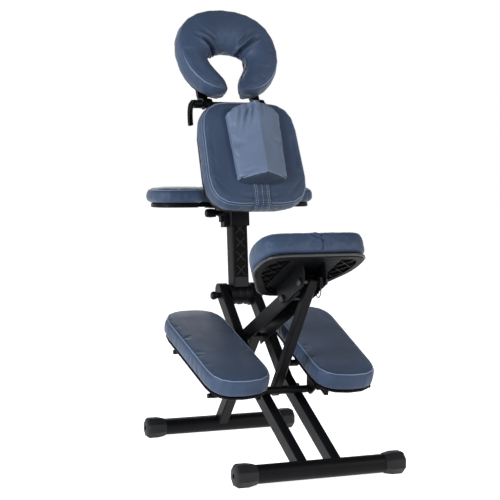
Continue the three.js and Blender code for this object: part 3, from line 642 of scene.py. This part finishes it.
def thread(name, color):
    """Twisted sewing thread."""
    m = Nodes(name)
    dark, middle, light = shades(color, 0.75, 1.0, 1.1)
    tone = m.ramp(m.noise(1500.0, 2.0), [(0.35, dark), (0.5, middle), (0.65, light)])
    rough = m.span(m.noise(600.0, 2.0), 0.6, 0.8)
    return m.finish(tone, rough, m.bump(m.noise(2500.0, 1.0), 0.4, 0.0002), specular=0.3)


VINYL_BLUE = (0.034, 0.054, 0.098)
MAST_PIVOT = (0, 0.213 + SHIFT, 0.454 + LIFT)
MAST_LEAN = -4.9
# The mast's front panel, where its painted shade goes: half its width, and places behind its floor and
# between floor and ridges
PANEL = {"half": 0.0203, "back": -0.0236, "ridge": -0.0243}
MATERIALS = {
    "vinyl": vinyl("slate_blue_vinyl", VINYL_BLUE),
    # Lighter vinyl as a painted highlight on the bolster's stretched cover.
    "bolster": vinyl("slate_vinyl_painted_highlight", (0.100, 0.136, 0.210), 0.22),
    # Darker vinyl as painted shade on the bolster's lower end.
    "bolster_end": vinyl("slate_vinyl_painted_shade", (0.022, 0.034, 0.058), 0.10),
    # Lighter than the cover: a painted highlight along the welts of the rims and seams.
    "piping": vinyl("piping_vinyl_painted_highlight", (0.130, 0.180, 0.270), 0.5),
    "thread": thread("seam_thread", (0.36, 0.42, 0.52)),
    "frame_paint": paint("black_powder_coat", (0.0030, 0.0032, 0.0042)),
    "mast_paint": panel_paint("mast_powder_coat", (0.0050, 0.0052, 0.0062), MAST_PIVOT, MAST_LEAN),
    "pad_board": moulded("black_board", (0.0014, 0.0015, 0.0020), (0.36, 0.54), 0.10),
    "black_plastic": moulded("black_nylon", (0.0020, 0.0021, 0.0028), (0.34, 0.52), 0.12),
    "foot_rubber": moulded("foot_rubber", (0.0075, 0.0078, 0.0090), (0.46, 0.66), 0.25, 620.0, 0.3),
    "trim": moulded("edge_trim", (0.016, 0.017, 0.019), (0.24, 0.40), 0.6),
    "bolt_steel": plated("zinc_plate", (0.045, 0.045, 0.048)),
}


# ---------- carried-over CAD nodes ----------
def dress_frame():
    """Gives every CAD node its material, softened edges and smooth round faces."""
    slots = {s["node"]: s["material_slot"] for s in frame["record"]["subparts"]}
    for node, obj in NODES.items():
        mesh = obj.data
        for attribute in ("custom_normal", "sharp_face", "sharp_edge"):
            if attribute in mesh.attributes:
                mesh.attributes.remove(mesh.attributes[attribute])
        mesh.polygons.foreach_set("use_smooth", [True] * len(mesh.polygons))
        key = "mast_paint" if node == "mast_column" else slots[node]
        mesh.materials.clear()
        mesh.materials.append(MATERIALS[key if key in MATERIALS else "vinyl"])
        weld = obj.modifiers.new("Weld", "WELD")
        weld.merge_threshold = 0.00002
        bevel = obj.modifiers.new("Bevel", "BEVEL")
        bevel.width, bevel.segments = 0.0007, 2
        bevel.limit_method, bevel.angle_limit = "ANGLE", math.radians(38)
        bevel.harden_normals = True


# ---------- the pads ----------
def build_kneel_pads():
    for word, side in SIDES:
        matrix = lying(KNEEL, side * KNEEL_X, -side * KNEEL_SPLAY)
        node = f"kneel_cushion_{word}"
        pad, loop = cushion(f"kneel_pad_{word}_cover", node, matrix, KNEEL, MATERIALS["vinyl"], crown=0.003,
                            sim=(1.6, 0.0011))
        add_piping(pad, loop, matrix, KNEEL, BODY_OF[node], f"kneel_piping_{word}", 0.0015)


def build_seat():
    matrix = lying(SEAT)
    top = SEAT["thick"]
    folds = [
        ((0.012, 0.000, 0.004), (0.012, 0.000, top - 0.002), 0.0042, 0.0055),
        ((0.012, 0.001, top - 0.026), (-0.026, 0.003, top + 0.002), 0.0046, 0.0058),
        ((0.013, 0.001, top - 0.014), (0.026, 0.010, top + 0.002), 0.0040, 0.0030),
        ((0.012, 0.002, top - 0.002), (0.010, 0.050, top + 0.002), 0.0060, 0.0024),
    ]
    pad, loop = cushion("seat_cover", "seat_cushion", matrix, SEAT, MATERIALS["vinyl"], folds=folds)
    ring = inset(resampled(loop, 0.008), 0.0035)
    strip = transformed(np.column_stack([ring, np.full(len(ring), -0.0078)]), matrix)
    bumper = tube("seat_edge_trim", strip, 0.0042, MATERIALS["trim"], sides=12)
    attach(bumper, BODY_OF["seat_board"])
    add_piping(pad, loop, matrix, SEAT, BODY_OF["seat_cushion"], "seat_piping", 0.0013)


def build_armrest():
    matrix = lying(ARMREST)
    top = ARMREST["thick"]
    folds = []
    for x, v in ((-0.136, -0.080), (-0.120, -0.050), (-0.108, -0.022), (0.108, -0.022), (0.120, -0.050)):
        folds.append(((x, v, 0.004), (x * 0.98, v, top), 0.0045, 0.0034))
    pad, loop = cushion("armrest_cover", "armrest_cushion", matrix, ARMREST, MATERIALS["vinyl"], folds=folds)
    add_piping(pad, loop, matrix, ARMREST, BODY_OF["armrest_cushion"], "armrest_piping", 0.0012)


def build_chest():
    matrix = standing(CHEST)
    pad, loop = cushion("chest_cover", "chest_cushion", matrix, CHEST, MATERIALS["vinyl"], crown=0.002)
    body = BODY_OF["chest_cushion"]
    add_piping(pad, loop, matrix, CHEST, body, "chest_piping", 0.0014)
    add_stitches(pad, loop, matrix, CHEST, body, "chest_stitches", 0.0, 0.0110)
    return pad


BOLSTER_BOTTOM, BOLSTER_X, BOLSTER_TOP = 0.066, 0.006, 0.224
BOLSTER_HALF, BOLSTER_SIDE, BOLSTER_RIDGE = (0.076, 0.084), 0.022, 0.060
# The bolster's lower end: half the width of its painted shade, and how far its middle bows down
END_BOW_AND_SHADE = {"half": 0.074, "bow": 0.010}


def end_bow(u):
    return END_BOW_AND_SHADE["bow"] * (1 - np.clip(np.abs(u) / BOLSTER_HALF[0], 0, 1) ** 2)


def sag_ends(p, _):
    """The stuffed bolster's lower end bows down, and its corners are pulled in."""
    low = 1 - smoothstep(p[:, 1] / 0.060)
    p[:, 1] -= end_bow(p[:, 0]) * low
    corner = smoothstep((np.abs(p[:, 0]) - 0.055) / 0.030)
    p[:, 1] += 0.006 * corner * low
    high = smoothstep((p[:, 1] - BOLSTER_TOP + 0.035) / 0.035)
    p[:, 1] -= 0.012 * corner * high
    return p


def bolster_seam(surface, matrix, points, name, radius):
    """A raised seam along straight runs between (x, y, w) points of the bolster's own frame."""
    points = np.array(points, float)
    runs = [np.linspace(a, b, 24, endpoint=False) for a, b in zip(points[:-1], points[1:])]
    dense = transformed(np.vstack([*runs, points[-1:]]), matrix)
    placed, _ = snapped(surface, dense)
    cord = tube(name, placed, radius, MATERIALS["piping"], closed=False, taper=6)
    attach(cord, BODY_OF["sternum_bolster"])


def shade_bolster_end(mesh, matrix):
    """Paints shade on the bolster's lower end: its faces get a darker vinyl that stands in for the shadow
    there.
    """
    mesh.materials.append(MATERIALS["bolster_end"])
    own = transformed(coords(mesh), matrix.inverted())
    # Painted shade: the lower end's faces take the darker vinyl.
    for face in mesh.polygons:
        u, v, w = own[list(face.vertices)].mean(0)
        if v < 0.005 + 0.25 * w - end_bow(u) and abs(u) < END_BOW_AND_SHADE["half"]:
            face.material_index = 1


def build_bolster():
    spec = {**CHEST, "thick": BOLSTER_RIDGE, "edge": 0.010, "outline": False}
    place = Matrix.Translation((BOLSTER_X, BOLSTER_BOTTOM, CHEST["thick"] + 0.0003))
    matrix = standing(CHEST) @ place
    top = BOLSTER_TOP
    folds = [
        ((-0.022, top + 0.010, 0.052), (-0.046, top - 0.075, 0.036), 0.0065, 0.0060),
        ((-0.008, top + 0.014, 0.058), (-0.020, top - 0.050, 0.050), 0.0055, 0.0055),
        ((-0.042, top + 0.002, 0.040), (-0.056, top - 0.060, 0.032), 0.0060, 0.0050),
        ((-0.014, top + 0.008, 0.054), (-0.030, top - 0.024, 0.044), 0.0040, 0.0050),
        ((0.014, top + 0.008, 0.056), (0.016, top - 0.035, 0.054), 0.0050, 0.0024),
        ((-0.060, 0.020, 0.030), (-0.020, 0.030, 0.050), 0.0060, 0.0020),
    ]
    obj, _ = cushion("bolster_cover", "sternum_bolster", matrix, spec, MATERIALS["bolster"], voxel=0.004,
                     sim=(1.5, 0.0020), folds=folds, shape=sag_ends)
    shade_bolster_end(obj.data, matrix)
    surface = surface_of(obj)
    low, high = BOLSTER_HALF
    for word, side in SIDES:
        edge = [(side * low, 0.010, BOLSTER_SIDE), (side * high, top, BOLSTER_SIDE)]
        bolster_seam(surface, matrix, edge, f"bolster_seam_{word}", 0.0010)
    rim = [(-low, 0.004, BOLSTER_SIDE), (0, 0.014, BOLSTER_RIDGE), (low, 0.004, BOLSTER_SIDE)]
    bolster_seam(surface, matrix, rim, "bolster_seam_end", 0.0012)


# The strap: half width, middle, columns of its grid, thickness, and the share of it left at the hems
STRAP = {"half": 0.027, "x": 0.002, "columns": 11, "thick": 0.0020, "hem": 0.35}
UNSEWN_ROWS = 11


def strap_path():
    """The strap's middle line as (v, w): down the pad's face, round its lower edge and under it."""
    thick, bend, reach = CHEST["thick"], 0.012, 0.016
    down = [(v, thick + 0.004) for v in np.linspace(0.078, bend, 16)]
    angles = np.linspace(0.2, 1.5, 8)
    turn = [(bend - reach * math.sin(a), thick - reach + 0.020 * math.cos(a)) for a in angles]
    under = [(-0.004, w) for w in np.linspace(thick - 0.022, 0.002, 12)]
    return down + turn + under


def strip_faces(rows, columns):
    """Faces of a thin closed strip, whose inner grid of vertices comes before its outer one."""
    count = rows * columns
    faces = []
    for i in range(rows - 1):
        for k in range(columns - 1):
            a, b = i * columns + k, (i + 1) * columns + k
            faces.append((a, a + 1, b + 1, b))
            faces.append((count + a, count + b, count + b + 1, count + a + 1))
        for k in (0, columns - 1):
            a, b = i * columns + k, (i + 1) * columns + k
            quad = (a, b, count + b, count + a)
            faces.append(quad if k == 0 else quad[::-1])
    for i in (0, rows - 1):
        for k in range(columns - 1):
            a = i * columns + k
            quad = (a, count + a, count + a + 1, a + 1)
            faces.append(quad if i == 0 else quad[::-1])
    return faces


def face_outward(mesh):
    turned = bmesh.new()
    turned.from_mesh(mesh)
    bmesh.ops.recalc_face_normals(turned, faces=turned.faces)
    turned.to_mesh(mesh)
    turned.free()


def build_strap(chest):
    """The strap from under the bolster, down the pad's face and round under its lower edge."""
    matrix, surface, columns = standing(CHEST), surface_of(chest), STRAP["columns"]
    across = [STRAP["x"] + STRAP["half"] * (2 * k / (columns - 1) - 1) for k in range(columns)]
    lifts = [STRAP["thick"] * (STRAP["hem"] if k in (0, columns - 1) else 1.0) for k in range(columns)]
    inner, outer, ups = [], [], []
    path = strap_path()
    for v, w in path:
        line = transformed(np.array([(x, v, w) for x in across]), matrix)
        placed, normal = snapped(surface, line, 0.0008)
        inner += placed
        outer += [p + n * lift for p, n, lift in zip(placed, normal, lifts)]
        ups += normal
    strap = new_object("strap_webbing", inner + outer, strip_faces(len(path), columns), MATERIALS["vinyl"])
    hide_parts("sternum_strap")
    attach(strap, BODY_OF["sternum_strap"])
    face_outward(strap.data)
    for row, column in enumerate((1, 2, 5, columns - 3, columns - 2)):
        line = np.array([outer[i * columns + column] for i in range(len(path) - UNSEWN_ROWS)])
        fine = [Vector(q) for q in resampled_open(line, 0.0032)]
        sewn = stitches(f"strap_stitches_{row}", fine, [ups[0]] * len(fine), MATERIALS["thread"],
                        length=0.0038, radius=0.0005)
        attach(sewn, BODY_OF["sternum_strap"])


CRADLE_LIP = {"width": 0.046, "drop": 0.036}


def hole_side(loop):
    """Which outline points are on the face hole's side of the horseshoe."""
    return (np.abs(loop[:, 0]) < 0.072) & (loop[:, 1] > 0.016) & (loop[:, 1] < 0.172)


def roll_lip(p, loop):
    """The cover rolls over into the face hole instead of turning at an edge."""
    hole = arc_of(loop, hole_side)
    near = np.clip(1 - line_distance(p[:, :2], hole) / CRADLE_LIP["width"], 0, 1)
    tips = smoothstep((p[:, 1] - 0.020) / 0.060)
    drop = CRADLE_LIP["drop"] * (1 - np.sqrt(1 - near ** 2)) * (0.35 + 0.65 * tips)
    p[:, 2] *= 1 - drop / CRADLE["thick"]
    brow = np.exp(-((p[:, 0] / 0.070) ** 2) - ((p[:, 1] - 0.225) / 0.034) ** 2)
    p[:, 2] += 0.008 * brow * smoothstep((p[:, 2] - 0.030) / 0.020)
    return p


def build_cradle():
    matrix = standing(CRADLE)
    folds = []
    for side in (-1, 1):
        folds += [
            ((side * 0.030, 0.144), (side * 0.106, 0.192), 0.0060, 0.0160),
            ((side * 0.040, 0.168), (side * 0.084, 0.212), 0.0060, 0.0050),
        ]
    folds += [((x, 0.166), (x * 1.3, 0.240), 0.0100, 0.0014) for x in (-0.026, 0.002, 0.028)]
    pad, loop = cushion("cradle_cover", "cradle_cushion", matrix, CRADLE, MATERIALS["vinyl"],
                        folds=folds, shape=roll_lip)
    for word, side in SIDES:
        rim = arc_of(loop, lambda q: ~hole_side(q) & (q[:, 1] < 0.19) & (q[:, 0] * side > 0.034))
        points, _ = edge_line(pad, rim, matrix, CRADLE)
        cord = tube(f"cradle_piping_{word}", points, 0.0015, MATERIALS["piping"], closed=False, taper=12)
        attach(cord, BODY_OF["cradle_cushion"])


dress_frame()
build_kneel_pads()
build_seat()
build_armrest()
CHEST_PAD = build_chest()
build_bolster()
build_strap(CHEST_PAD)
build_cradle()


# ---------- studio ----------
def area_light(name, place, target, size, power, color=(1, 1, 1)):
    data = bpy.data.lights.new(name, "AREA")
    data.shape, data.size, data.energy, data.color = "DISK", size, power, color
    light = bpy.data.objects.new(name, data)
    light.location = place
    light.rotation_euler = (Vector(target) - Vector(place)).to_track_quat("-Z", "Y").to_euler()
    bpy.context.scene.collection.objects.link(light)


def build_floor():
    m = Nodes("studio_floor")
    tone = m.ramp(m.noise(2.0), [(0.3, (0.93, 0.93, 0.93)), (0.7, (0.96, 0.96, 0.96))])
    m.finish(tone, m.span(m.noise(9.0), 0.75, 0.9), m.bump(m.noise(60.0), 0.02, 0.001), specular=0.1)
    m.link(tone, m.shader.inputs["Emission Color"])
    m.shader.inputs["Emission Strength"].default_value = 0.95
    reach = 30.0
    corners = [(-reach, -reach, 0), (reach, -reach, 0), (reach, reach, 0), (-reach, reach, 0)]
    floor = new_object("floor", corners, [(0, 1, 2, 3)], m.material, smooth=False)


def build_world():
    """White from the horizon down and dim grey overhead, so that the pads' faces shade softly."""
    world = bpy.data.worlds.new("studio")
    world.use_nodes = True
    tree = world.node_tree
    place = tree.nodes.new("ShaderNodeTexCoord")
    split = tree.nodes.new("ShaderNodeSeparateXYZ")
    ramp = tree.nodes.new("ShaderNodeValToRGB")
    stops = ((0.14, (1, 1, 1, 1)), (0.55, (0.16, 0.17, 0.20, 1)))
    for element, (position, color) in zip(ramp.color_ramp.elements, stops):
        element.position, element.color = position, color
    tree.links.new(place.outputs["Generated"], split.inputs["Vector"])
    tree.links.new(split.outputs["Z"], ramp.inputs["Fac"])
    tree.links.new(ramp.outputs["Color"], tree.nodes["Background"].inputs["Color"])
    tree.nodes["Background"].inputs["Strength"].default_value = 1.0
    bpy.context.scene.world = world


def build_lights():
    target = (0, 0, 0.75)
    area_light("key", (-3.0, -1.4, 1.3), target, 1.4, 88, (0.96, 0.97, 1.0))
    area_light("fill", (2.2, -2.6, 1.9), target, 1.2, 36, (1.0, 0.94, 0.82))
    area_light("back", (0.5, 2.6, 2.2), target, 1.6, 20)


def build_camera():
    data = bpy.data.cameras.new("camera")
    data.sensor_width = 36
    data.lens = CAMERA["lens"]
    camera = bpy.data.objects.new("camera", data)
    x, y, z = CAMERA["at"]
    camera.location = (x, y + SHIFT, z + LIFT)
    camera.rotation_euler = (math.radians(CAMERA["pitch"]), 0, math.radians(CAMERA["yaw"]))
    bpy.context.scene.collection.objects.link(camera)
    bpy.context.scene.camera = camera


build_floor()
build_world()
build_lights()
build_camera()
bpy.context.scene.view_settings.view_transform = "Standard"

bpy.context.view_layer.update()
